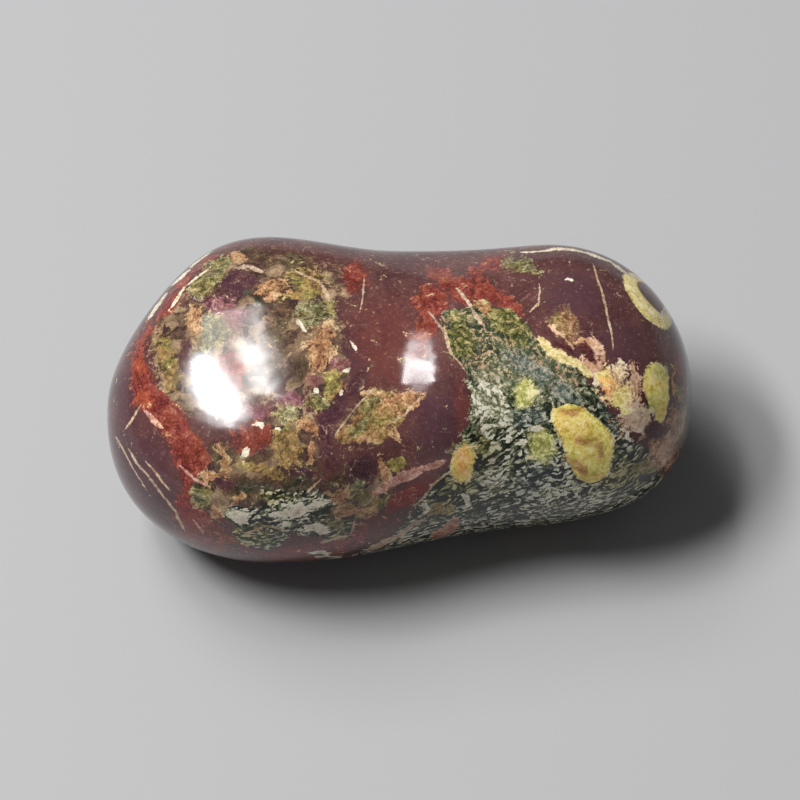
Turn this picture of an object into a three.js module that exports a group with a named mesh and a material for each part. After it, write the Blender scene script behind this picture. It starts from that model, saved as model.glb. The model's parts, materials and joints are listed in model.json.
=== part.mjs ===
// A dragon blood jasper tumbled stone: one polished pebble, lying on its broad underside.
// Millimetres, +Z up. X runs along the pebble from its blunt end (-X) to its narrow end (+X),
// and -Y is its front. The origin is on the floor under the middle of the pebble.
import * as THREE from "three";
import { mergeVertices } from "three/addons/utils/BufferGeometryUtils.js";

// Driving dimensions of the finished pebble.
const LENGTH = 38;
const DEPTH = 20.8;
const HEIGHT = 18.2;

// The rough piece is two rounded lobes with a waist between them. A lobe's cap runs from its
// middle to the pebble's end, and drift is how far its tip is led towards the back (+Y).
const bluntLobe = {
  middle: new THREE.Vector3(-8, 0, 8.9),
  cap: 11.1,
  halfDepth: 10.4,
  halfHeight: 10,
  drift: -1.2,
};
const narrowLobe = {
  middle: new THREE.Vector3(9, 1.4, 8.5),
  cap: 10,
  halfDepth: 9.1,
  halfHeight: 9.7,
  drift: -0.9,
};
const SECTION_POWER = 2.15; // 2 is an oval section, and more is boxier
const CAP_POWER = 2;

// Faces that tumbling wore nearly flat: the way each looks out, how far it stands from the
// pebble's core, and how wide its rounded edge is.
const core = new THREE.Vector3(0, 0, 8.8);
const backFace = { facing: new THREE.Vector3(0.1, 1, -0.1), reach: 10.2, edge: 2.4 };
const frontSkirt = { facing: new THREE.Vector3(0.2, -1, -0.5), reach: 10.4, edge: 2.2 };
const crown = { facing: new THREE.Vector3(-0.1, 0.05, 1), reach: 10.4, edge: 5 };
const bluntShoulder = { facing: new THREE.Vector3(-0.8, 0.5, 0.33), reach: 17.1, edge: 2 };
const bluntBrow = { facing: new THREE.Vector3(-0.22, -0.36, 0.9), reach: 10.9, edge: 2.5 };
const wornFaces = [backFace, frontSkirt, crown, bluntShoulder, bluntBrow];

// Gentle hollows and swells that give the polish its broken highlights. Each fades out over
// its reach along X, Y and Z, and rise is its height at the middle, below 0 for a hollow.
const behindWaist = { at: [3, 6.5, 16], reach: [6, 4.5, 5], rise: -1.5 };
const bluntDome = { at: [-10.2, -2.2, 17.5], reach: [5.5, 10, 8], rise: 0.8 };
const acrossTop = { at: [-1.3, -3.6, 16.5], reach: [2.9, 6.5, 6], rise: -1 };
const ridgeBesideIt = { at: [3.2, -3.8, 16.5], reach: [2.6, 4.5, 6], rise: 0.6 };
const thumbHollow = { at: [-3, 9.5, 10.5], reach: [4, 4.5, 5.5], rise: -0.6 };
const underNarrowEnd = { at: [13, -4, 2], reach: [5, 5, 3], rise: -0.4 };
const onTop = [behindWaist, bluntDome, acrossTop, ridgeBesideIt];
const undulations = [...onTop, thumbHollow, underNarrowEnd];

// A hollow is pressed in across the pebble more than along it.
const ALONG_SHARE = 0.3;

// The underside is ground to a true flat at the floor, rounded off where it meets the sides.
const FLOOR = 0;
const FOOT_EDGE = 0.8;

// Each of an icosahedron's 20 faces is split this many times each way, and once more.
const SPLITS = 14;
const HALVINGS = 40;

// The larger of a and b, rounded off where they are within `edge` of each other.
function roundedMax(a, b, edge) {
  const near = Math.max(edge - Math.abs(a - b), 0) / edge;
  return Math.max(a, b) + (near * near * edge) / 4;
}

// How far out a point lies in the rough piece: under 1 inside it, and 1 on its surface.
function outness(p) {
  const share = THREE.MathUtils.smootherstep(p.x, bluntLobe.middle.x, narrowLobe.middle.x);
  const halfDepth = THREE.MathUtils.lerp(bluntLobe.halfDepth, narrowLobe.halfDepth, share);
  const halfHeight = THREE.MathUtils.lerp(bluntLobe.halfHeight, narrowLobe.halfHeight, share);
  const middle = bluntLobe.middle.clone().lerp(narrowLobe.middle, share);
  const intoBlunt = Math.max(bluntLobe.middle.x - p.x, 0) / bluntLobe.cap;
  const intoNarrow = Math.max(p.x - narrowLobe.middle.x, 0) / narrowLobe.cap;
  const drift = bluntLobe.drift * intoBlunt ** 2 + narrowLobe.drift * intoNarrow ** 2;
  const across = Math.abs(p.y - middle.y - drift) / halfDepth;
  const upward = Math.abs(p.z - middle.z) / halfHeight;
  const along = Math.max(intoBlunt, intoNarrow);
  return along ** CAP_POWER + across ** SECTION_POWER + upward ** SECTION_POWER;
}

// The rough piece's surface in one direction from its core, found by halving the interval.
function surfacePoint(direction) {
  let inside = 0;
  let outside = LENGTH;
  const point = new THREE.Vector3();
  for (let step = 0; step < HALVINGS; step++) {
    const between = (inside + outside) / 2;
    point.copy(direction).multiplyScalar(between).add(core);
    if (outness(point) < 1) inside = between;
    else outside = between;
  }
  return point;
}

// Presses the hollows in and raises the swells, along the line from the core.
function undulate(point) {
  let height = 0;
  for (const { at, reach, rise } of undulations) {
    const away = point.toArray().map((place, axis) => ((place - at[axis]) / reach[axis]) ** 2);
    height += rise * Math.exp(-away[0] - away[1] - away[2]);
  }
  const outward = point.clone().sub(core);
  outward.x *= ALONG_SHARE;
  point.addScaledVector(outward.normalize(), height);
}

// Wears one soft flat: what stands past its plane is pushed back to it.
function wear(point, { facing, reach, edge }) {
  const normal = facing.clone().normalize();
  const past = point.clone().sub(core).dot(normal) - reach;
  point.addScaledVector(normal, -roundedMax(past, 0, edge));
}

// Centres the pebble over the origin and brings it to its driving dimensions.
function fitToSize(geometry) {
  geometry.computeBoundingBox();
  const size = geometry.boundingBox.getSize(new THREE.Vector3());
  const middle = geometry.boundingBox.getCenter(new THREE.Vector3());
  geometry.translate(-middle.x, -middle.y, -geometry.boundingBox.min.z);
  geometry.scale(LENGTH / size.x, DEPTH / size.y, HEIGHT / size.z);
}

// An even ball of triangles, each vertex moved out to the pebble's surface.
function pebbleGeometry() {
  const ball = new THREE.IcosahedronGeometry(1, SPLITS);
  ball.deleteAttribute("normal");
  ball.deleteAttribute("uv");
  const geometry = mergeVertices(ball);
  const stretch = new THREE.Vector3(LENGTH, DEPTH, HEIGHT);
  const places = geometry.getAttribute("position");
  for (let i = 0; i < places.count; i++) {
    const direction = new THREE.Vector3().fromBufferAttribute(places, i);
    const point = surfacePoint(direction.multiply(stretch).normalize());
    undulate(point);
    wornFaces.forEach((face) => wear(point, face));
    places.setXYZ(i, point.x, point.y, roundedMax(point.z, FLOOR, FOOT_EDGE));
  }
  fitToSize(geometry);
  geometry.computeVertexNormals();
  return geometry;
}

const polishedJasper = new THREE.MeshStandardMaterial({
  color: 0x5a4038, // dark red-brown, between the stone's maroon and its green
  roughness: 0.12,
  metalness: 0,
});

const pebble = new THREE.Mesh(pebbleGeometry(), polishedJasper);
pebble.name = "tumbled_stone";

const part = new THREE.Group();
part.add(pebble);

export default part;
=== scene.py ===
# One tumbled stone of dragon blood jasper, polished all over, lying on a pale studio floor.
import json
import math

import bpy
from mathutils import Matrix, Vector

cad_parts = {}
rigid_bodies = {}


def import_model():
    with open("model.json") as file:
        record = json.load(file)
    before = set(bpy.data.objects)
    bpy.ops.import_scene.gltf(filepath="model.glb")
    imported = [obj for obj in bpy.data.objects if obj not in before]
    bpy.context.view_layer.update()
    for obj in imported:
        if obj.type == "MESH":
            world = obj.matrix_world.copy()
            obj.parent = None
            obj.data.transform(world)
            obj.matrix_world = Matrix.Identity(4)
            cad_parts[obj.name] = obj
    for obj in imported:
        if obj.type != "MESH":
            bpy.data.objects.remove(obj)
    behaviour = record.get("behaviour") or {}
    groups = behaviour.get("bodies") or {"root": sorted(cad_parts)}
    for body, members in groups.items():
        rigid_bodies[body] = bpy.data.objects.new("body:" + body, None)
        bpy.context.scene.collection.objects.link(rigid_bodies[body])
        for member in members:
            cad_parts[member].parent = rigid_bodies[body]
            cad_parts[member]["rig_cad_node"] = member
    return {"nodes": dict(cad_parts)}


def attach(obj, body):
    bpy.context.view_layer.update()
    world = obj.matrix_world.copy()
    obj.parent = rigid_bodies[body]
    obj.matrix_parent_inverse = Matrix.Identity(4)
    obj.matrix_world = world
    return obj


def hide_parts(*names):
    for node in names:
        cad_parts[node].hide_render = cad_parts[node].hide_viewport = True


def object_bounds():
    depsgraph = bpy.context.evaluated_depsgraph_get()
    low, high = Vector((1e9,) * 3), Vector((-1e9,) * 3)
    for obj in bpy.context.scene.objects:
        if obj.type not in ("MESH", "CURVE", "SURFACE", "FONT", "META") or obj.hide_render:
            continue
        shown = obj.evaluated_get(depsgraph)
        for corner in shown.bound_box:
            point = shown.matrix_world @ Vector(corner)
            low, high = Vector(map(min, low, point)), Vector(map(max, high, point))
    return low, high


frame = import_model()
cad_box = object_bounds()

# The camera. It looks down on the front of the stone at the photograph's angle and from the
# photograph's distance, and the stone fills three quarters of the frame's width.
MM = 0.001
CAMERA_ELEVATION = math.radians(60)
CAMERA_DISTANCE = 400 * MM
SEEN_ACROSS = 52 * MM
SENSOR_WIDTH = 36
NEAREST_SEEN = 10 * MM
FARTHEST_SEEN = 10
pebble = frame["nodes"]["tumbled_stone"]
picture_right = Vector((1, 0, 0))
picture_up = Vector((0, math.sin(CAMERA_ELEVATION), math.cos(CAMERA_ELEVATION)))
toward_camera = picture_right.cross(picture_up)
outline_heights = [vertex.co.dot(picture_up) for vertex in pebble.data.vertices]
outline_middle = (min(outline_heights) + max(outline_heights)) / 2
box_middle = (Vector(cad_box[0]) + Vector(cad_box[1])) / 2
aim = box_middle + (outline_middle - box_middle.dot(picture_up)) * picture_up
bpy.ops.object.camera_add(
    location=aim + CAMERA_DISTANCE * toward_camera,
    rotation=(math.pi / 2 - CAMERA_ELEVATION, 0, 0),
)
camera = bpy.context.object
camera.name = "camera"
camera.data.sensor_width = SENSOR_WIDTH
camera.data.lens = SENSOR_WIDTH * CAMERA_DISTANCE / SEEN_ACROSS
camera.data.clip_start = NEAREST_SEEN
camera.data.clip_end = FARTHEST_SEEN
bpy.context.scene.camera = camera

# The floor: a plain pale sheet, matt enough that the stone's shadow stays soft on it.
FLOOR_SIDE = 6
SHEET_COLOUR = (0.34, 0.34, 0.345, 1)
SHEET_ROUGHNESS = 0.7
bpy.ops.mesh.primitive_plane_add(size=FLOOR_SIDE, location=(0, 0, 0))
floor = bpy.context.object
floor.name = "floor"
pale_sheet = bpy.data.materials.new("pale_sheet")
pale_sheet.use_nodes = True
sheet_shader = pale_sheet.node_tree.nodes["Principled BSDF"]
sheet_shader.inputs["Base Color"].default_value = SHEET_COLOUR
sheet_shader.inputs["Roughness"].default_value = SHEET_ROUGHNESS
floor.data.materials.append(pale_sheet)

# The studio light, as the polish mirrors it: an oval window up on the left with a dimmer veil of
# light round it, a long pane beside it, the pale curtain above them, and the gap at the
# curtain's edge, in a dim even room.
LIGHT_DISTANCE = 0.6
ROOM_COLOUR = (0.5, 0.5, 0.51, 1)
ROOM_STRENGTH = 0.24


def soft_light(name, toward, width, height, watts, turn=0, shape="RECTANGLE"):
    """A light that faces the stone from one direction, sized in metres."""
    direction = Vector(toward).normalized()
    facing = direction.to_track_quat("Z", "Y").to_euler()
    bpy.ops.object.light_add(
        type="AREA", location=aim + LIGHT_DISTANCE * direction, rotation=facing
    )
    light = bpy.context.object
    light.name = name
    light.rotation_euler.rotate_axis("Z", math.radians(turn))
    light.data.shape = shape
    light.data.size = width
    light.data.size_y = height
    light.data.energy = watts


soft_light("window", (-0.575, 0.0, 1), 0.24, 0.08, 2.5, turn=11, shape="ELLIPSE")
soft_light("window_veil", (-0.565, 0.01, 1), 0.29, 0.13, 1.1, turn=11, shape="ELLIPSE")
soft_light("side_pane", (-0.355, 0.12, 1), 0.2, 0.052, 0.88, turn=18)
soft_light("curtain", (-0.43, 0.4, 1), 0.26, 0.17, 1.05, turn=50)
soft_light("curtain_gap", (-0.29, 0.31, 1), 0.43, 0.018, 0.4, turn=42)
room = bpy.data.worlds.new("room")
bpy.context.scene.world = room
room.use_nodes = True
room_light = room.node_tree.nodes["Background"]
room_light.inputs["Color"].default_value = ROOM_COLOUR
room_light.inputs["Strength"].default_value = ROOM_STRENGTH
bpy.context.scene.view_settings.view_transform = "Standard"

# The stone: one pebble of dragon blood jasper, a fine maroon jasper that holds brick-red bands,
# a speckled green rock and yellow-green orbs. It was tumbled smooth with grit and then polished.
WELD = 0.001 * MM
bpy.ops.object.select_all(action="DESELECT")
pebble.select_set(True)
bpy.context.view_layer.objects.active = pebble
bpy.ops.object.duplicate()
stone = bpy.context.object
stone.name = "polished_stone"
stone.data.name = "polished_stone"
del stone["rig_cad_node"]
bpy.ops.object.mode_set(mode="EDIT")
bpy.ops.mesh.select_all(action="SELECT")
bpy.ops.mesh.remove_doubles(threshold=WELD)
bpy.ops.object.mode_set(mode="OBJECT")


def finish_with(kind, **settings):
    """Adds one modifier to the stone and applies it."""
    modifier = stone.modifiers.new(kind.lower(), kind)
    for name, value in settings.items():
        setattr(modifier, name, value)
    bpy.ops.object.modifier_apply(modifier=modifier.name)


finish_with("SUBSURF", levels=2, render_levels=2)
finish_with("SMOOTH", factor=0.5, iterations=6)
bpy.ops.object.shade_smooth()

# Its pattern runs through the solid rock, so it is drawn in the stone's own space, in mm along
# the picture's three directions: across, up, and out towards the viewer of its best side.
jasper = bpy.data.materials.new("polished_jasper")
jasper.use_nodes = True
shader_nodes = jasper.node_tree.nodes
polish = shader_nodes["Principled BSDF"]


def node(kind, **settings):
    """A new shader node with its settings."""
    made = shader_nodes.new(f"ShaderNode{kind}")
    for name, value in settings.items():
        setattr(made, name, value)
    return made


def plug(socket, source):
    """Feeds a socket from another node, or sets it to a plain value."""
    if isinstance(source, bpy.types.NodeSocket):
        jasper.node_tree.links.new(source, socket)
    else:
        socket.default_value = source


def maths(operation, *terms):
    """One sum on numbers."""
    made = node("Math", operation=operation)
    for socket, term in zip(made.inputs, terms):
        plug(socket, term)
    return made.outputs["Value"]


def blend(*parts):
    """A weighted sum of amounts, each part an amount and its weight."""
    total = None
    for amount, weight in parts:
        share = maths("MULTIPLY", amount, weight)
        total = share if total is None else maths("ADD", total, share)
    return total


def between(amount, low, high):
    """0 where an amount is at low or past it, 1 where it is at high, and smooth in between."""
    made = node("MapRange", interpolation_type="SMOOTHSTEP")
    plug(made.inputs["Value"], amount)
    plug(made.inputs["From Min"], low)
    plug(made.inputs["From Max"], high)
    return made.outputs["Result"]


def paint(hexadecimal):
    """A colour as it is mixed on a screen, such as 8f2f26, as the light that it returns."""
    tones = [int(hexadecimal[i : i + 2], 16) / 255 for i in (0, 2, 4)]
    return [t / 12.92 if t < 0.04 else ((t + 0.055) / 1.055) ** 2.4 for t in tones] + [1]


def cover(under, over, where):
    """Lays one colour over another where the mask is 1."""
    made = node("Mix", data_type="RGBA")
    plug(made.inputs[0], where)
    plug(made.inputs[6], under)
    plug(made.inputs[7], over)
    return made.outputs[2]


def shades(amount, places, colours):
    """A run of colours laid out along an amount, each at its own place."""
    made = node("ValToRGB")
    stops = made.color_ramp.elements
    while len(stops) < len(places):
        stops.new(0.5)
    for stop, place, colour in zip(stops, places, colours.split()):
        stop.position = place
        stop.color = paint(colour)
    plug(made.inputs["Fac"], amount)
    return made.outputs["Color"]


def speckle(space, size, detail, output="Fac"):
    """Cloudy lumps of this size in mm: an amount from 0 to 1, or as Color three of them."""
    made = node("TexNoise")
    plug(made.inputs["Vector"], space)
    plug(made.inputs["Scale"], 1 / size)
    plug(made.inputs["Detail"], detail)
    return made.outputs[output]


def bent(space, size, bend, detail):
    """A space pushed about by up to half of bend, in lumps of this size."""
    made = node("VectorMath", operation="MULTIPLY_ADD")
    plug(made.inputs[0], speckle(space, size, detail, output="Color"))
    plug(made.inputs[1], (bend, bend, bend))
    plug(made.inputs[2], space)
    return made.outputs["Vector"]


def mapped(space, kind="POINT", location=(0, 0, 0), turn=(0, 0, 0), scale=(1, 1, 1)):
    """A space moved, turned and scaled."""
    made = node("Mapping", vector_type=kind)
    plug(made.inputs["Vector"], space)
    plug(made.inputs["Location"], location)
    plug(made.inputs["Rotation"], turn)
    plug(made.inputs["Scale"], scale)
    return made.outputs["Vector"]


# Two such spaces: a calm one that is gently bent, for smooth markings, and a frayed one, for
# those that broke up.
BEND = 1.0
BEND_SIZE = 4
FRAY = 1.1
FRAY_SIZE = 1.0
whole = node("TexCoord").outputs["Object"]
upright = mapped(
    whole,
    location=(-BEND / 2, -BEND / 2 - outline_middle / MM, -BEND / 2),
    turn=(CAMERA_ELEVATION - math.pi / 2, 0, 0),
    scale=(1 / MM, 1 / MM, 1 / MM),
)
calm = mapped(bent(upright, BEND_SIZE, BEND, 1))
frayed = mapped(bent(calm, FRAY_SIZE, FRAY, 3), location=(-FRAY / 2, -FRAY / 2, -FRAY / 2))

# What every kind of rock in it is made of: clouds, lumps, grains and dust, and the hue that
# wanders between two runs of its tones.
CLOUD_SIZE = 2.4
LUMP_SIZE = 0.85
GRAIN_SIZE = 0.3
DUST_SIZE = 0.11
HUE_SIZE = 1.3
FAR_APART = 40
clouds = speckle(calm, CLOUD_SIZE, 2)
lumps = speckle(frayed, LUMP_SIZE, 2)
grains = speckle(frayed, GRAIN_SIZE, 2)
dust = speckle(calm, DUST_SIZE, 1)
elsewhere = mapped(frayed, location=(FAR_APART, 0, 0))
hue = between(speckle(elsewhere, HUE_SIZE, 2), 0.42, 0.58)
grain = blend((lumps, 0.3), (grains, 0.42), (dust, 0.28))
crumble = maths("SUBTRACT", blend((lumps, 0.42), (grains, 0.38), (dust, 0.2)), 0.5)
TONE_PLACES = (0.39, 0.47, 0.54, 0.62)


def rock(first_run, second_run):
    """A mottled colour: it wanders between two runs of four tones, each from dark to pale."""
    runs = [shades(grain, TONE_PLACES, run) for run in (first_run, second_run)]
    return cover(*runs, hue)


# Each marking is made of blotches in the rock, placed by where the camera sees them on the
# surface. A spot says, in mm, how far across and up from the picture's middle a blotch lies,
# half its width and half its height, and then its turn in degrees.
DEEP = 5


def seen_at(across, up):
    """The point of the surface at one place in the picture, in the pattern's space."""
    target = aim + MM * (across * picture_right + up * picture_up)
    hit, spot, _, _ = stone.ray_cast(camera.location, target - camera.location)
    spot = spot if hit else target
    height = spot.dot(picture_up) - outline_middle
    return (spot.x / MM, height / MM, spot.dot(toward_camera) / MM)


def blotch(space, across, up, half_wide, half_high, turn=0, deep=DEEP, sunk=0):
    """How far into one blotch a place is: 1 at its heart, a half at its edge, 0 outside."""
    x, y, z = seen_at(across, up)
    local = mapped(
        space,
        kind="TEXTURE",
        location=(x, y, z - sunk),
        turn=(0, 0, math.radians(turn)),
        scale=(2 * half_wide, 2 * half_high, 2 * deep),
    )
    ball = node("TexGradient", gradient_type="SPHERICAL")
    plug(ball.inputs["Vector"], local)
    return ball.outputs["Fac"]


def blotches(space, spots):
    """Several blotches as one, made one after another to keep the shader's memory small."""
    largest = None
    for spot in spots:
        amount = blotch(space, *spot)
        largest = amount if largest is None else maths("MAXIMUM", largest, amount)
    return largest


# A seam is a chain of long blotches, each reaching a little past its two bends.
SEAM_OVERLAP = 1.25
SEAM_FULLNESS = 1.15
SEAM_TIP = 0.4


def seam(*path, deep=DEEP):
    """The spots of a band or hairline, from its bends: across, up and width at each."""
    spots = []
    for (x0, y0, width0), (x1, y1, width1) in zip(path, path[1:]):
        half_long = math.hypot(x1 - x0, y1 - y0) / 2 * SEAM_OVERLAP
        half_wide = (width0 + width1) / 4 * SEAM_FULLNESS
        half_long += half_wide * SEAM_TIP
        turn = math.degrees(math.atan2(y1 - y0, x1 - x0))
        spots.append(((x0 + x1) / 2, (y0 + y1) / 2, half_long, half_wide, turn, deep))
    return spots


def across_and_up(space):
    """The two picture directions of a space."""
    made = node("SeparateXYZ")
    plug(made.inputs["Vector"], space)
    return made.outputs["X"], made.outputs["Y"]


def edge_line(up, bends):
    """How far across an edge lies at each height, from its bends: up and across."""
    bends = sorted(bends)
    ups, acrosses = zip(*bends)
    low, tall = ups[0], ups[-1] - ups[0]
    left, wide = min(acrosses), max(acrosses) - min(acrosses)
    made = node("FloatCurve")
    curve = made.mapping.curves[0]
    while len(curve.points) < len(bends):
        curve.points.new(0.5, 0.5)
    for point, (bend_up, bend_across) in zip(curve.points, bends):
        point.location = ((bend_up - low) / tall, (bend_across - left) / wide)
        point.handle_type = "AUTO_CLAMPED"
    made.mapping.update()
    plug(made.inputs["Value"], maths("MULTIPLY_ADD", up, 1 / tall, -low / tall))
    return maths("MULTIPLY_ADD", made.outputs["Value"], wide, left)


def outlined(directions, rows):
    """How many mm inside an outline a place is, from rows of it: up, left edge, right edge."""
    across, up = directions
    left_edge = [seen_at(left, row_up)[1::-1] for row_up, left, _ in rows]
    right_edge = [seen_at(right, row_up)[1::-1] for row_up, _, right in rows]
    from_left = maths("SUBTRACT", across, edge_line(up, left_edge))
    from_right = maths("SUBTRACT", edge_line(up, right_edge), across)
    return maths("MINIMUM", from_left, from_right)


calm_directions = across_and_up(calm)
frayed_directions = across_and_up(frayed)


def mask_of(spots, space=frayed, soft=0.08, broken=2.0, edge=0.5, strength=1.0):
    """Where some blotches lie, their outline softened, and broken up as rock crumbles."""
    depth = maths("MULTIPLY_ADD", crumble, broken, blotches(space, spots))
    mask = between(depth, edge - soft, edge + soft)
    return maths("MULTIPLY", mask, strength) if strength < 1 else mask


def lay(under, colour, spots, **outline):
    """Lays one kind of marking over the stone."""
    return cover(under, colour, mask_of(spots, **outline))


# The maroon jasper: clouds of darker and purpler maroon, with a fine dust of paler grains.
MAROON_PLACES = (0.36, 0.46, 0.55, 0.66)
maroon_tone = blend((clouds, 0.5), (grains, 0.25), (dust, 0.25))
maroon = shades(maroon_tone, MAROON_PLACES, "422728 4f3130 5c3b38 6b4a45")
bright_dust = maths("MULTIPLY", between(blend((grains, 1), (dust, 0.8)), 1.04, 1.14), 0.32)
plain_maroon = cover(maroon, paint("a98577"), bright_dust)
surface = plain_maroon
PURPLE = [
    (-16.6, -4.6, 1.8, 3.0, 25),
    (-17.8, 0.5, 0.9, 2.2, 0),
    (2.4, -1.6, 1.5, 2.4, 5),
    (11.4, 7.0, 2.0, 1.5, 0),
    (14.6, 3.6, 1.8, 1.3, 0),
    (-3.4, 2.6, 1.0, 1.4, 0),
]
surface = lay(surface, paint("4a3138"), PURPLE, soft=0.25, strength=0.7)
RUSSET = [
    (-0.6, 3.4, 2.6, 3.2, 0),
    (3.9, -0.6, 0.5, 1.8, 0),
    (-2.0, -8.4, 1.8, 0.7, 25),
    (18.2, 1.2, 0.6, 1.8, 0),
    (0.5, -6.4, 1.9, 0.7, 33),
]
surface = lay(surface, paint("6a3630"), RUSSET, soft=0.3, strength=0.55)

# The mottled half: crushed jasper and green rock, healed into a mass of small mixed pieces.
MOTTLED = [
    (-9.3, 7.4, 5.6, 2.4, 0),
    (-14.3, 3.0, 1.9, 3.9, 8),
    (-12.6, 4.0, 2.4, 3.0, 0),
    (-6.2, 4.0, 2.5, 4.2, 0),
    (-9.6, 3.0, 3.2, 2.8, 0),
    (-10.2, -4.9, 3.4, 1.9, -5),
    (-7.0, -2.3, 2.2, 2.3, 0),
    (-1.7, -1.0, 2.4, 1.5, 40),
    (-2.9, -6.0, 2.2, 1.9, 0),
    (-4.3, 1.0, 1.2, 1.4, 0),
    (-12.2, -6.2, 1.4, 1.6, 0),
]
crushed = node("TexVoronoi")
plug(crushed.inputs["Vector"], mapped(frayed, kind="TEXTURE", scale=(1.1, 0.85, 1)))
plug(crushed.inputs["Scale"], 1)
each_piece = node("SeparateColor")
plug(each_piece.inputs["Color"], crushed.outputs["Color"])
mottled_tone = blend(
    (each_piece.outputs["Red"], 0.55), (grain, 1.7), (crushed.outputs["Distance"], -0.35)
)
MOTTLED_PLACES = (0.2, 0.34, 0.48, 0.6, 0.76, 0.92)
MOTTLED_COLOURS = "3a2825 4c3a31 5f4a3a 725d48 887057 a1896d"
mottling = shades(maths("SUBTRACT", mottled_tone, 0.4), MOTTLED_PLACES, MOTTLED_COLOURS)
surface = lay(surface, mottling, MOTTLED, soft=0.06, broken=1.1)
UMBER = [
    (-10.6, -5.4, 2.0, 0.8, -10),
    (-11.6, -3.4, 0.9, 0.8, 0),
    (-8.4, -5.1, 1.6, 0.5, 5),
    (-6.0, -4.3, 1.2, 0.7, 0),
    (-7.6, -5.6, 2.6, 0.6, 3),
    (-3.9, -5.2, 0.9, 0.5, -20),
    (-9.2, -3.6, 0.7, 0.3, 0),
    (-7.8, 9.2, 2.4, 0.5, -5),
    (-10.2, 9.6, 1.4, 0.35, 10),
    (-7.6, 5.8, 0.6, 1.5, 0),
    (-8.2, 3.6, 1.0, 1.2, 0),
    (-6.6, 2.0, 0.7, 0.8, 0),
]
umber = rock("312720 453829 594a36 706046", "35271f 4b382b 624a39 7b604a")
surface = lay(surface, umber, UMBER, broken=2.4)

# Plum shadows and rose stains in the mottled half.
PLUM = [
    (-10.4, 7.7, 1.3, 0.75, 0),
    (-10.6, 6.8, 1.0, 0.5, 0),
    (-2.6, -4.7, 0.95, 1.0, 0),
    (-13.9, 2.7, 0.45, 1.2, 5),
    (-10.9, -2.0, 0.5, 0.6, 35),
    (-6.6, -4.7, 1.2, 0.4, -10),
    (-12.3, 6.4, 1.2, 0.25, -5),
    (-11.2, -5.3, 0.7, 0.5, 0),
    *seam((-2.6, 1.6, 0.9), (-3.7, 0.2, 1.0), (-4.7, -1.4, 1.1)),
    *seam((-4.7, -1.4, 1.1), (-4.9, -3.0, 1.0), (-4.4, -4.3, 0.8)),
]
plum = rock("33202a 40282f 4d3035 5f4144", "3a2326 4b2e2f 593a38 6d4d46")
surface = lay(surface, plum, PLUM)
ROSE = [
    (-11.2, 5.8, 1.2, 0.5, -15),
    (-10.6, 5.0, 0.7, 0.6, 0),
    (-5.5, 1.4, 0.6, 0.5, 0),
    (-7.1, 0.3, 0.8, 0.45, 0),
    (-4.0, 2.2, 0.6, 0.4, 0),
    (-9.3, -0.6, 1.0, 0.5, 0),
]
rose = rock("5a3039 6d3d45 80505a 95696c", "5c3433 714542 87594f a17466")
surface = lay(surface, rose, ROSE, soft=0.15, strength=0.85)

# Brick-red jasper: the band round the blunt end, and patches along the waist.
RED_BAND_ROWS = [
    (5.7, -15.9, -16.5), (5.0, -16.5, -16.0), (4.0, -17.0, -16.4), (3.0, -17.3, -16.5),
    (2.0, -17.5, -16.3), (1.0, -17.6, -15.9), (0.3, -17.5, -15.2), (-0.4, -16.9, -14.5),
    (-1.0, -16.3, -14.0), (-1.8, -15.5, -13.5), (-2.6, -15.1, -12.9), (-3.4, -14.9, -12.5),
    (-4.0, -14.8, -12.5), (-4.6, -14.5, -12.8), (-5.2, -14.3, -13.3), (-6.0, -14.5, -13.3),
    (-7.0, -14.6, -13.0), (-7.7, -14.6, -12.4), (-8.3, -14.5, -11.8), (-8.9, -13.9, -10.6),
    (-9.4, -13.3, -10.1), (-9.8, -12.2, -13.2),
]
RED_SEAM = seam(
    (-10.3, -9.3, 0.8), (-9.0, -10.0, 0.7), (-7.0, -9.9, 1.0), (-5.0, -9.7, 0.6),
    (-3.4, -9.2, 0.9), (-2.5, -8.6, 1.2),
)
RED_PATCHES = [
    *seam((-15.5, 5.6, 0.5), (-14.4, 7.0, 0.6), (-13.2, 8.3, 0.4), (-12.2, 9.2, 0.3)),
    (2.0, 6.3, 1.1, 1.0),
    (1.5, 4.4, 0.7, 1.4, -10),
    (2.7, 8.1, 0.9, 0.6, -20),
    (3.9, 7.3, 1.5, 0.9, -15),
    (5.5, 7.1, 1.3, 0.7, -35),
    (7.0, 6.3, 1.2, 0.4, -35),
    (6.2, 9.0, 0.8, 0.7),
    (5.0, 8.3, 0.7, 0.4, 20),
    (-2.9, 8.0, 0.8, 1.0),
    (-10.7, 1.9, 0.8, 1.3),
    (-9.7, -2.3, 1.3, 0.9),
    (18.1, 2.2, 0.4, 1.3),
    (0.4, -6.5, 1.5, 0.5, 33),
    (-12.7, -8.8, 1.8, 0.6, -38),
]
brick_red = rock("4a1f1c 672a25 7e3c34 935347", "54261f 713227 864536 9a5d4a")
red_band = maths("MULTIPLY_ADD", crumble, 2.4, outlined(frayed_directions, RED_BAND_ROWS))
surface = cover(surface, brick_red, between(red_band, -0.08, 0.1))
surface = lay(surface, brick_red, RED_SEAM + RED_PATCHES, broken=1.6)
EMBER = [(-16.7, 0.1, 0.7, 0.6, 0), (-17.0, 2.0, 0.3, 0.5, 0)]
surface = lay(surface, paint("98482f"), EMBER, soft=0.2, strength=0.6)
CRIMSON = [(0.4, -6.5, 1.7, 0.6, 33), (-14.0, -7.6, 0.7, 1.2, 20), (-7.6, -10.0, 1.4, 0.4, 5)]
surface = lay(surface, paint("751f28"), CRIMSON, soft=0.2, strength=0.6)

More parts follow.
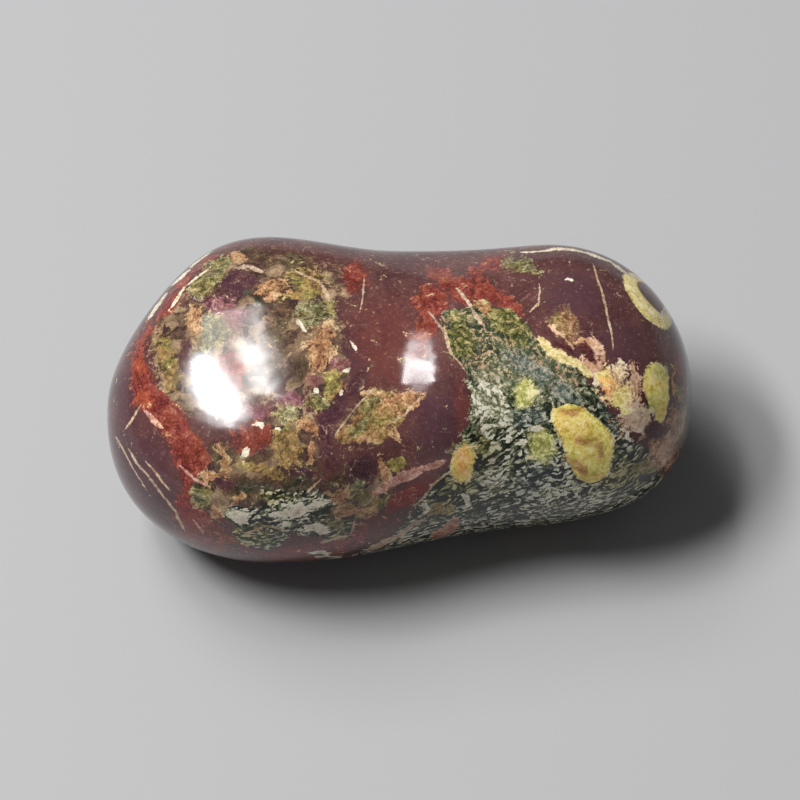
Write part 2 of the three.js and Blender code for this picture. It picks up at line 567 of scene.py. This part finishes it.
# The green rock: a granular mass of green, black and pale grains between two ragged edges.
GREEN_ROWS = [
    (6.7, 6.2, 5.0), (6.3, 5.2, 6.0), (6.0, 4.2, 6.7), (5.4, 2.7, 7.7), (4.8, 2.8, 8.5),
    (3.9, 3.1, 9.3), (3.0, 3.3, 10.3), (2.2, 4.0, 11.5), (1.1, 4.4, 12.4), (0.3, 4.45, 13.2),
    (-0.5, 4.35, 13.6), (-1.6, 4.2, 14.6), (-2.5, 3.9, 15.5), (-3.2, 3.7, 16.2), (-4.0, 3.3, 16.4),
    (-5.0, 2.6, 17.0), (-6.5, 1.3, 18.0), (-7.5, 0.8, 18.4), (-8.7, -0.5, 18.8), (-9.6, -2.2, 19.2),
]
LOWER_GREEN = [
    (-6.8, -7.5, 3.7, 1.4, 3),
    (-9.0, -8.9, 1.7, 0.8, -5),
    (-4.6, -8.1, 1.4, 1.0, 0),
    (-7.0, -6.0, 2.0, 0.5, 5),
    (-10.3, -7.6, 1.0, 0.8, -30),
]
lower_green = maths("MULTIPLY", maths("SUBTRACT", blotches(frayed, LOWER_GREEN), 0.5), 4)
into_green = maths("MAXIMUM", outlined(frayed_directions, GREEN_ROWS), lower_green)
into_green = maths("MULTIPLY_ADD", crumble, 2.2, into_green)


def crystals(turn, long, wide):
    """A mass of grains that lie one way: how pale each one is, darkest along its border."""
    made = node("TexVoronoi")
    lying = mapped(
        frayed, kind="TEXTURE", turn=(0, 0, math.radians(turn)), scale=(long, wide, wide)
    )
    plug(made.inputs["Vector"], lying)
    plug(made.inputs["Scale"], 1)
    each_grain = node("SeparateColor")
    plug(each_grain.inputs["Color"], made.outputs["Color"])
    border = between(made.outputs["Distance"], 0.35, 0.8)
    return maths("MULTIPLY_ADD", border, -0.22, each_grain.outputs["Red"])


# Its grains fall to the right in its upper half and rise to the right in its lower one, where
# dark and pale ones stand out more. It is muted near its top, and salted with pale grains.
low_down = between(frayed_directions[1], 0.5, -3.0)
falling = crystals(turn=-52, long=0.33, wide=0.2)
rising = crystals(turn=32, long=0.46, wide=0.19)
pale = maths("ADD", falling, maths("MULTIPLY", low_down, maths("SUBTRACT", rising, falling)))
MUTED = [(6.0, 4.0, 4.0, 2.6, -30), (9.6, 1.6, 2.4, 1.4, -30)]
PALER = [(9.5, 0.8, 3.4, 1.7, -35), (8.4, -1.4, 1.5, 1.2, 0), (13.6, -1.2, 1.6, 0.5, -45)]
SALTED = [
    (5.8, -0.6, 1.4, 2.8, 12),
    (10.4, -5.6, 2.4, 0.8, 25),
    (6.2, -5.0, 0.9, 0.8, 40),
    (12.6, -6.4, 1.6, 0.5, 20),
    (-6.6, -7.0, 2.0, 0.7, 12),
]
muted = between(blotches(calm, MUTED), 0.4, 0.65)
paler = between(blotches(calm, PALER), 0.35, 0.65)
salted = between(blotches(calm, SALTED), 0.35, 0.75)
contrast = blend((muted, -0.5), (low_down, 0.95), (1, -0.28))
spread = maths("SUBTRACT", pale, 0.38)
green_tone = maths("ADD", spread, maths("MULTIPLY_ADD", spread, contrast, 0.28))
green_tone = blend(
    (green_tone, 1),
    (muted, 0.13),
    (paler, 0.12),
    (salted, 0.42),
    (low_down, -0.05),
    (maths("SUBTRACT", grain, 0.5), 2.2),
)
GREEN_PLACES = (0.0, 0.2, 0.4, 0.6, 0.8, 1.0)
green_rock = shades(green_tone, GREEN_PLACES, "141914 2b3225 4b5139 75755a a7a48a d6d1bd")
where_tan = maths("MULTIPLY", between(blend((grains, 0.7), (dust, 0.3)), 0.53, 0.57), muted)
tan_grains = rock("7a6450 92795f a99072 bfa88a", "76594a 8f6c58 a78269 bd9b82")
green_rock = cover(green_rock, tan_grains, where_tan)
BLUE_GREY = [
    (7.9, 2.4, 1.1, 0.7, -35),
    (9.0, 1.5, 1.0, 0.7, -35),
    (8.4, -1.4, 1.2, 0.8, 0),
    (10.8, 0.2, 1.3, 0.6, -30),
    (9.0, -5.0, 1.6, 0.8, 20),
    (13.9, -1.4, 1.4, 0.4, -45),
]
TINTED_PLACES = (0.1, 0.35, 0.6, 0.9)
blue_grains = shades(green_tone, TINTED_PLACES, "262c2b 465150 6e7871 a6a99c")
green_rock = lay(green_rock, blue_grains, BLUE_GREY, soft=0.25, strength=0.65)
OLIVE_ROCK = [
    (3.9, 4.0, 0.9, 1.4, 0),
    (6.4, 5.6, 1.6, 0.5, -28),
    (7.4, 4.6, 1.4, 0.8, -35),
    (3.6, -6.0, 1.4, 0.8, 30),
    (14.8, -4.8, 2.0, 1.0, 15),
    (2.6, -7.1, 1.0, 0.4, 10),
    (5.2, -3.3, 0.9, 1.0, 0),
    (-9.6, -8.8, 1.3, 0.7, -5),
    (-4.2, -8.0, 0.9, 0.9, 0),
    (-8.2, -6.3, 1.5, 0.4, 5),
    (-11.0, -8.0, 0.6, 0.6, 0),
]
olive_grains = shades(green_tone, TINTED_PLACES, "252613 4b4a22 80783a b7aa6a")
green_rock = lay(green_rock, olive_grains, OLIVE_ROCK, soft=0.25, strength=0.7)
surface = cover(surface, green_rock, between(into_green, -0.12, 0.12))

# Dusky, olive, mossy and tan patches, each broken up at its edge, and one straight-sided slab.
DUSKY = [
    (-9.0, 6.6, 1.0, 0.4, -20),
    (-12.6, 2.6, 0.7, 1.2, 0),
    (-11.8, -4.6, 0.8, 0.5, 30),
    (-9.6, -5.6, 1.2, 0.35, 8),
    (-6.5, -5.5, 1.4, 0.35, 0),
    (-13.0, -5.6, 0.5, 0.5, 0),
    (-3.6, -7.4, 0.9, 0.4, -20),
]
dusky = rock("23201a 363428 4d4b3b 686452", "2b211d 40322b 58463c 726050")
surface = lay(surface, dusky, DUSKY, broken=2.4)
SLAB_ROWS = [
    (0.8, -1.5, -1.4), (0.5, -2.1, 0.6), (0.2, -2.3, 1.35), (-0.5, -2.75, 0.95), (-1.0, -3.1, 0.5),
    (-1.5, -3.4, 0.1), (-2.0, -3.75, -0.25), (-2.5, -3.95, -0.6), (-2.8, -3.2, -1.1),
    (-3.0, -2.1, -2.2),
]
slab = maths("MULTIPLY_ADD", crumble, 1.2, outlined(frayed_directions, SLAB_ROWS))
slab_rock = rock("4c3d26 786338 9d844e bfa574", "5e4230 8b6644 ae8760 cba985")
surface = cover(surface, slab_rock, between(slab, -0.1, 0.1))
OLIVE = [
    (-15.1, 2.4, 0.65, 1.8, 15),
    (-6.2, 7.6, 1.1, 1.1, 20),
    (-7.4, -2.9, 1.0, 1.5, 0),
    (-1.75, -1.2, 1.0, 1.2, 0),
    (-1.5, -6.8, 0.6, 0.6, 0),
    (-8.9, -4.5, 1.3, 0.4, -20),
    (-4.2, 1.2, 0.5, 0.8, 10),
    (-0.2, -4.3, 0.6, 0.35, 30),
    (2.5, -7.1, 0.8, 0.3, 15),
    (16.1, -4.4, 0.9, 0.5, 10),
    (18.3, -1.2, 0.4, 2.4, 5),
]
olive = rock("453f24 6c6135 8d7f46 aea063", "504028 785f38 997a4a b69a68")
surface = lay(surface, olive, OLIVE, broken=1.8, strength=0.88)
SMUDGE = [(10.8, 4.9, 0.7, 0.9, 15), (11.2, 5.4, 0.3, 0.3)]
surface = lay(surface, slab_rock, SMUDGE, soft=0.25, broken=1.0, strength=0.75)
MOSS = [
    (-12.4, 7.6, 1.2, 0.7, 35),
    (-11.8, 8.7, 0.9, 0.5, 20),
    (-12.1, 4.3, 1.1, 1.0, 0),
    (-5.5, 5.7, 1.4, 0.9, 10),
    (-2.7, -1.8, 0.9, 0.5, 45),
    (-2.2, -0.5, 0.5, 0.5, 0),
    (-1.6, 0.0, 0.45, 0.35, 0),
    (-5.1, -0.1, 0.9, 0.45, 0),
    (-7.4, -0.7, 0.8, 0.5, 0),
    (-12.9, -6.3, 0.7, 0.9, 0),
    (-2.7, -6.0, 0.8, 0.5, 0),
    (7.8, 8.8, 1.2, 0.6, -20),
    (-3.9, -8.0, 0.5, 0.7, 0),
]
moss = rock("2f2f1e 555338 7f7956 aaa281", "3c3820 655e38 8d8252 b3a678")
surface = lay(surface, moss, MOSS, broken=1.8, strength=0.85)
TAN = [
    (-13.3, 5.2, 0.65, 0.85, 0),
    (-8.2, 7.2, 1.1, 0.5, 18),
    (-10.5, 9.3, 0.7, 0.35, 0),
    (-5.3, 3.4, 0.9, 1.4, -15),
    (-5.9, -1.7, 0.9, 0.6, -20),
    (-5.9, -3.3, 0.25, 0.7, 0),
    (0.1, 0.0, 1.3, 0.6, 5),
    (-1.5, 0.3, 0.9, 0.3, 0),
    (-11.4, -3.8, 0.3, 1.2, 25),
    (-4.0, -6.2, 0.7, 0.6, -10),
    (-2.7, -7.2, 1.3, 0.45, -10),
    (-11.8, -7.5, 0.6, 0.4, -40),
    (-12.2, -4.9, 0.6, 0.4, 0),
    (-1.1, -4.6, 0.3, 0.8, 20),
    (17.2, -3.5, 1.0, 1.3, 15),
    (17.8, -1.7, 0.5, 1.3, 5),
    (17.3, -2.6, 0.6, 0.5, 0),
    (5.3, 6.0, 0.6, 0.3, 0),
    (-10.6, -6.4, 0.6, 0.2, 35),
    (-0.4, -2.4, 0.3, 0.4, 0),
]
tan = rock("6b4a33 94704d b5906a d0b18b", "60402f 895e41 aa7c55 c79e78")
surface = lay(surface, tan, TAN, broken=1.8, strength=0.88)

# The edge of the green rock at the narrow end: pink-tan and cream, with a yellow stain, and with
# dark wedges of jasper let into it.
PINK_TAN = [
    *seam((11.7, 3.9, 0.4), (12.5, 3.9, 0.6), (13.0, 3.2, 0.6), (13.4, 2.5, 0.3)),
    (12.5, 2.0, 0.9, 0.5, -45),
    (13.1, 1.9, 0.9, 0.6, -60),
    (14.1, 0.8, 1.0, 1.5, 20),
    (15.4, -1.2, 1.5, 1.1, -35),
    (15.35, 0.5, 0.5, 1.6, 0),
    (17.1, -3.5, 0.6, 0.9, 15),
    *seam((10.0, 4.7, 0.2), (10.6, 4.1, 0.25), (11.2, 3.4, 0.2)),
]
pink_tan = rock("906a55 b18a6f cba489 dfc2a5", "825e49 a47c5e c1946f d6b088")
surface = lay(surface, pink_tan, PINK_TAN, broken=2.2)
PALE_FIELD = [(15.3, -1.0, 1.3, 1.0, -35), (14.2, 1.3, 0.7, 1.0, 20), (13.2, 1.4, 0.5, 0.5, 0)]
pale_field = rock("a48b76 bfa78f d2bea6 e4d6c0", "9a7e66 b99b82 d0b298 e3ceb4")
surface = lay(surface, pale_field, PALE_FIELD, broken=2.2)
YELLOW_STAIN = [(14.1, 0.8, 0.85, 1.2, 20), (14.7, -0.3, 0.4, 0.5, 0), (13.5, 1.6, 0.5, 0.6, 0)]
yellow_stain = rock("a48d48 cdb865 e8d88e f5ecc2", "ab8650 d3ac74 ebcd9c f8e6c8")
surface = lay(surface, yellow_stain, YELLOW_STAIN, broken=2.2)
CREAM_EDGE = seam(
    (9.3, 3.9, 0.35), (9.8, 3.2, 0.6), (10.7, 2.6, 0.6), (11.7, 2.3, 0.45), (12.4, 1.6, 0.5)
)
cream_edge = rock("a39158 bfae6f d3c48c e5dab0", "96804e b39c64 cab480 dfcea2")
surface = lay(surface, cream_edge, CREAM_EDGE, space=calm, broken=1.0)
WEDGES = [
    (12.2, 3.1, 0.8, 0.3, -50),
    (10.6, 3.4, 0.8, 0.2, -35),
    (16.6, -2.0, 0.55, 0.5),
    (15.5, -2.3, 0.3, 0.2),
]
dark_wedge = rock("2c1416 401f20 532c2c 6b4140", "2f1615 44221f 5a302a 714640")
surface = lay(surface, dark_wedge, WEDGES, broken=1.4)

# Orbs: yellow-green nodules with a thin cream skin and a speckled heart. Two small ones have a
# greener, looser skin, and some are greened or stained orange and brown.
ORBS = [
    (16.7, 1.1, 0.8, 1.2, -5),
    (16.85, 0.2, 0.6, 1.0, 0),
    (16.95, -0.5, 0.35, 0.9, 0),
    (4.1, -4.3, 0.8, 1.2, -8),
]
EGG_ROWS = [
    (-0.3, 11.6, 10.8), (-0.55, 10.4, 11.7), (-0.9, 9.95, 12.3), (-1.3, 9.95, 12.9),
    (-2.0, 10.25, 13.65), (-2.6, 10.5, 14.0), (-3.2, 10.75, 14.15), (-4.0, 11.1, 13.95),
    (-4.6, 11.4, 13.55), (-5.1, 11.85, 13.0), (-5.4, 12.6, 12.2),
]
egg = maths("MULTIPLY_ADD", outlined(calm_directions, EGG_ROWS), 0.4, 0.5)
orb_depth = maths("MAXIMUM", egg, blotches(calm, ORBS))
orb_depth = maths("MULTIPLY_ADD", crumble, 0.4, orb_depth)
orb_heart = rock("b5a449 dccb64 f0e085 f8f0ba", "bf9e4d e2c365 f2d784 f9e9b2")
orb_skin = rock("a3935c bfb07a d6caa0 e8e0c4", "8a7c4c ab9c66 c8ba86 ded3ae")
surface = cover(surface, orb_skin, between(orb_depth, 0.46, 0.5))
surface = cover(surface, orb_heart, between(orb_depth, 0.5, 0.56))
GREENISH = [
    (4.0, -3.1, 0.6, 0.5, 0),
    (17.0, 1.7, 0.4, 0.5, 0),
    (16.5, -0.4, 0.4, 0.6, 0),
]
greened = rock("56582f 7f8148 a3a468 c6c594", "60603a 85854f a9a872 c9c79c")
surface = lay(surface, greened, GREENISH, soft=0.3, broken=3.0, strength=0.55)
SMALL_ORBS = [(8.0, 0.55, 0.75, 0.65, 0), (7.9, 0.1, 0.5, 0.6, 0), (9.2, -3.1, 0.8, 0.95, 0)]
small_orb = rock("7f7f45 a5a35c c8c47e e6e2ae", "86804c aca466 cdc387 e8dfb4")
surface = lay(surface, greened, SMALL_ORBS, soft=0.15, broken=0.9, edge=0.4)
surface = lay(surface, small_orb, SMALL_ORBS, soft=0.12, broken=0.9, edge=0.52)
# A painted shade: a flat dark brown laid thinly over the lower and left parts of the mottled half,
# darkening them.
PAINTED_SHADE = [(-8.6, -4.0, 4.0, 1.6, -8), (-3.4, -5.6, 1.6, 1.4, 0), (-14.6, 2.6, 0.9, 3.0, 8)]
surface = lay(surface, paint("33261f"), PAINTED_SHADE, soft=0.3, broken=0.8, strength=0.22)
STAINS = [
    (11.2, -0.75, 0.8, 0.3, 0),
    (17.75, 1.1, 0.15, 0.9, 0),
    (11.8, -4.3, 0.9, 0.3, -35),
    (12.2, -2.5, 0.7, 0.3, 0),
    (13.2, -3.2, 0.25, 0.5, 20),
]
brown_stain = rock("7d5a2c a07a3c bb9750 d4b876", "85552c a87440 c08e58 d8b082")
surface = lay(surface, brown_stain, STAINS, soft=0.15, broken=3.0)
ORANGE = [(4.05, -4.1, 0.55, 0.9, -8), (13.55, 1.0, 0.45, 0.6, 0)]
orange_stain = rock("ba7230 e09c45 f2bd68 f9dda0", "b46c38 d99556 ecb477 f7d4a6")
surface = lay(surface, orange_stain, ORANGE, soft=0.2, broken=2.5)

# The eye: a yellow ring round a brown heart, near the narrow end.
EYE_TURN = -54.6
eye = blotch(calm, 16.08, 6.32, 2.4, 1.25, EYE_TURN, deep=3.6, sunk=1.5)
eye_heart = blotch(calm, 16.25, 6.56, 1.52, 0.6, EYE_TURN, deep=2.4, sunk=1.2)
ring = rock("bfae5c dccb7a eddf9a f7f0c8", "bba45c d8c27c ebd99a f7edc8")
surface = cover(surface, ring, between(maths("MULTIPLY_ADD", crumble, 0.12, eye), 0.48, 0.52))
brown_heart = rock("301a17 462922 58362b 6e4a39", "351d1b 4b2b25 5e392d 764d3d")
into_heart = between(maths("MULTIPLY_ADD", crumble, 0.2, eye_heart), 0.47, 0.53)
surface = cover(surface, brown_heart, into_heart)

# Pale seams: healed cracks of quartz, and thin pink and cream bands in the jasper; at the upper
# rims, partly painted reflection.
PINK_SEAMS = [
    *seam((-1.6, -6.0, 0.4), (0.0, -5.2, 0.6), (1.5, -4.6, 0.55), (2.7, -4.1, 0.25)),
    *seam((-16.4, -0.8, 0.25), (-15.4, -1.6, 0.35)),
    *seam((-14.3, -4.4, 0.12), (-13.4, -5.1, 0.22), (-12.4, -5.6, 0.18)),
    *seam((-13.4, -8.0, 0.12), (-12.8, -8.7, 0.2)),
    *seam((2.2, -8.9, 0.3), (3.0, -8.5, 1.0), (3.6, -7.9, 0.5)),
]
pink_seam = rock("7d5046 9a6b5e b3887a cba89a", "7f4f40 a06d57 ba8d73 d0ab92")
surface = lay(surface, pink_seam, PINK_SEAMS, space=calm, broken=1.0)
HAIRLINES = [
    *seam((-16.9, -0.4, 0.1), (-17.8, -1.9, 0.16)),
    *seam((-18.3, -2.5, 0.1), (-17.4, -4.0, 0.14), (-16.7, -5.4, 0.1)),
    *seam((-17.3, -3.4, 0.1), (-16.3, -4.8, 0.16), (-15.5, -6.2, 0.18)),
    *seam((-15.5, -6.2, 0.18), (-14.6, -7.3, 0.16), (-14.2, -8.4, 0.12)),
    *seam((-16.2, -4.2, 0.1), (-15.1, -5.6, 0.14)),
    *seam((12.6, 8.7, 0.1), (13.1, 7.4, 0.14), (13.5, 6.0, 0.16)),
    *seam((13.5, 6.0, 0.16), (13.8, 4.4, 0.12), (13.9, 3.4, 0.08)),
    *seam((-2.4, 7.8, 0.12), (-2.5, 6.1, 0.12)),
    *seam((2.1, 5.4, 0.1), (3.0, 4.4, 0.22), (3.3, 3.1, 0.14), (4.1, 2.0, 0.12)),
    *seam((3.6, 7.1, 0.12), (4.6, 6.0, 0.24), (5.3, 5.0, 0.15)),
    *seam((8.9, 7.4, 0.1), (9.0, 6.3, 0.1), (8.6, 5.8, 0.14)),
    *seam((-2.2, 0.3, 0.12), (-3.2, -0.8, 0.12), (-4.0, -2.0, 0.12)),
    *seam((1.3, 0.1, 0.14), (0.2, -1.1, 0.12), (-0.9, -1.9, 0.12)),
    *seam((-2.2, -9.6, 0.2), (-0.2, -8.8, 0.25), (1.2, -7.8, 0.2)),
    *seam((-9.8, -8.6, 0.1), (-8.6, -8.2, 0.12), (-7.4, -8.5, 0.12)),
    *seam((-3.0, -7.8, 0.1), (-3.4, -8.8, 0.12), (-4.8, -9.2, 0.1)),
    *seam((-6.6, 8.4, 0.12), (-5.3, 7.8, 0.2), (-4.6, 6.6, 0.2)),
    *seam((1.0, -7.0, 0.14), (2.0, -5.9, 0.14), (3.2, -4.8, 0.14)),
    *seam((-10.5, 8.6, 0.2), (-9.7, 8.8, 0.3), (-9.0, 8.4, 0.2)),
    *seam((-6.0, -5.9, 0.1), (-5.3, -5.2, 0.16)),
]
hairline = rock("84695a a08671 b9a28c d0bea9", "8a6d54 a98b6c c0a686 d5c2a6")
surface = lay(surface, hairline, HAIRLINES, space=calm, broken=0.9, strength=0.9)
# Pale lines along the upper rims, only a thin layer deep: partly pale seams, partly a painted
# reflection of the pale surroundings along the rim.
RIM_SEAMS_AND_REFLECTION = [
    *seam((-16.0, 5.7, 0.12), (-14.7, 7.4, 0.24), (-13.4, 8.8, 0.22), (-12.3, 9.6, 0.1), deep=0.9),
    *seam((-14.9, 6.1, 0.1), (-13.9, 7.2, 0.2), (-12.4, 8.4, 0.12), deep=0.9),
    *seam((8.4, 9.75, 0.1), (10.4, 9.85, 0.16), (12.2, 9.55, 0.22), deep=0.6),
    *seam((12.2, 9.55, 0.22), (13.8, 8.95, 0.24), (15.3, 8.0, 0.2), deep=0.6),
]
rim_seam_and_reflection = rock("a89a80 c4b89c d8ceb6 e9e2d0", "a8957c c6b496 dacab0 eae0cc")
surface = lay(surface, rim_seam_and_reflection, RIM_SEAMS_AND_REFLECTION, space=calm, broken=1.2)
FLECKS = [
    (-9.4, -1.6, 0.32, 0.18, 10),
    (-10.1, -3.1, 0.34, 0.26, 30),
    (-8.0, -1.75, 0.16, 0.16),
    (-5.2, 0.7, 0.16, 0.16),
    (-3.6, 0.6, 0.14, 0.24),
    (-3.5, 1.9, 0.2, 0.16),
    (-3.2, 3.6, 0.14, 0.14),
    (-6.4, 4.8, 0.36, 0.16, -40),
    (10.9, 7.75, 0.16, 0.16),
    (7.8, -3.1, 0.3, 0.2, 20),
    (9.0, -2.1, 0.4, 0.2, 20),
    (-6.4, -7.0, 1.5, 0.3, 12),
    (-5.3, -8.3, 0.8, 0.3, -5),
    (-7.2, -8.1, 0.35, 0.25),
    (-10.4, -7.6, 0.6, 0.45, -30),
    (1.7, -6.9, 0.2, 0.35, 0),
    (4.4, -6.4, 0.25, 0.3, 0),
    (14.9, -2.2, 0.7, 0.14, -42),
    (-4.8, -10.0, 1.2, 0.15, -5),
    (17.0, 5.6, 0.25, 0.4, -30),
]
pale_fleck = rock("a59d84 c2bba3 d6d0bb e8e4d3", "a99984 c5b7a1 d8cbb7 e9e0cf")
surface = lay(surface, pale_fleck, FLECKS, broken=1.2)

# Behind and below, out of the picture's sight, the same rocks lie in patches of their own.
BEHIND_FROM = 4.5
NODULE_SPACING = 6.5


def drifts(size, apart, share):
    """Large drifts of one rock, with crumbled edges: 1 over roughly this share of the stone."""
    amount = speckle(mapped(calm, location=(apart, 0, 0)), size, 1)
    ragged = maths("MULTIPLY_ADD", crumble, 0.35, amount)
    middle = 0.5 + (0.5 - share) * 0.4
    return between(ragged, middle - 0.01, middle + 0.01)


behind = cover(plain_maroon, mottling, drifts(size=8, apart=60, share=0.4))
behind = cover(behind, brick_red, drifts(size=4.5, apart=90, share=0.22))
green_behind = drifts(size=9, apart=120, share=0.38)
behind = cover(behind, green_rock, green_behind)
nodules = node("TexVoronoi")
plug(nodules.inputs["Vector"], calm)
plug(nodules.inputs["Scale"], 1 / NODULE_SPACING)
nodule_colour = node("SeparateColor")
plug(nodule_colour.inputs["Color"], nodules.outputs["Color"])
nodule_size = maths("MULTIPLY_ADD", nodule_colour.outputs["Red"], 0.6, -0.26)
into_nodule = maths("SUBTRACT", nodule_size, nodules.outputs["Distance"])
into_nodule = maths("MULTIPLY_ADD", crumble, 0.1, into_nodule)
behind = cover(behind, orb_skin, between(into_nodule, -0.008, 0.008))
behind = cover(behind, orb_heart, between(into_nodule, 0.015, 0.035))
outward = node("SeparateXYZ")
plug(outward.inputs["Vector"], calm)
far_side = maths("SUBTRACT", BEHIND_FROM, outward.outputs["Z"])
far_side = maths("ADD", far_side, blend((maths("SUBTRACT", clouds, 0.5), 5), (crumble, 3)))
out_of_sight = between(far_side, -0.1, 0.15)
surface = cover(surface, behind, out_of_sight)

# The polish: a little duller over the granular green rock, and not quite even, for the wheel
# leaves faint waves and soft grains lie a little lower.
POLISH_SHINE = 0.4
WAVE_HEIGHT = 0.012 * MM
granular = between(into_green, -0.12, 0.12)
more_behind = maths("SUBTRACT", green_behind, granular)
granular = maths("ADD", granular, maths("MULTIPLY", out_of_sight, more_behind))
plug(polish.inputs["Base Color"], surface)
polish.inputs["Specular IOR Level"].default_value = POLISH_SHINE
plug(polish.inputs["Roughness"], blend((granular, 0.06), (lumps, 0.08), (1, 0.08)))
waves = node("Bump")
plug(waves.inputs["Distance"], WAVE_HEIGHT)
plug(waves.inputs["Height"], blend((clouds, 1), (grains, 0.05)))
plug(polish.inputs["Normal"], waves.outputs["Normal"])
stone.data.materials.clear()
stone.data.materials.append(jasper)
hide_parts("tumbled_stone")
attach(stone, "root")
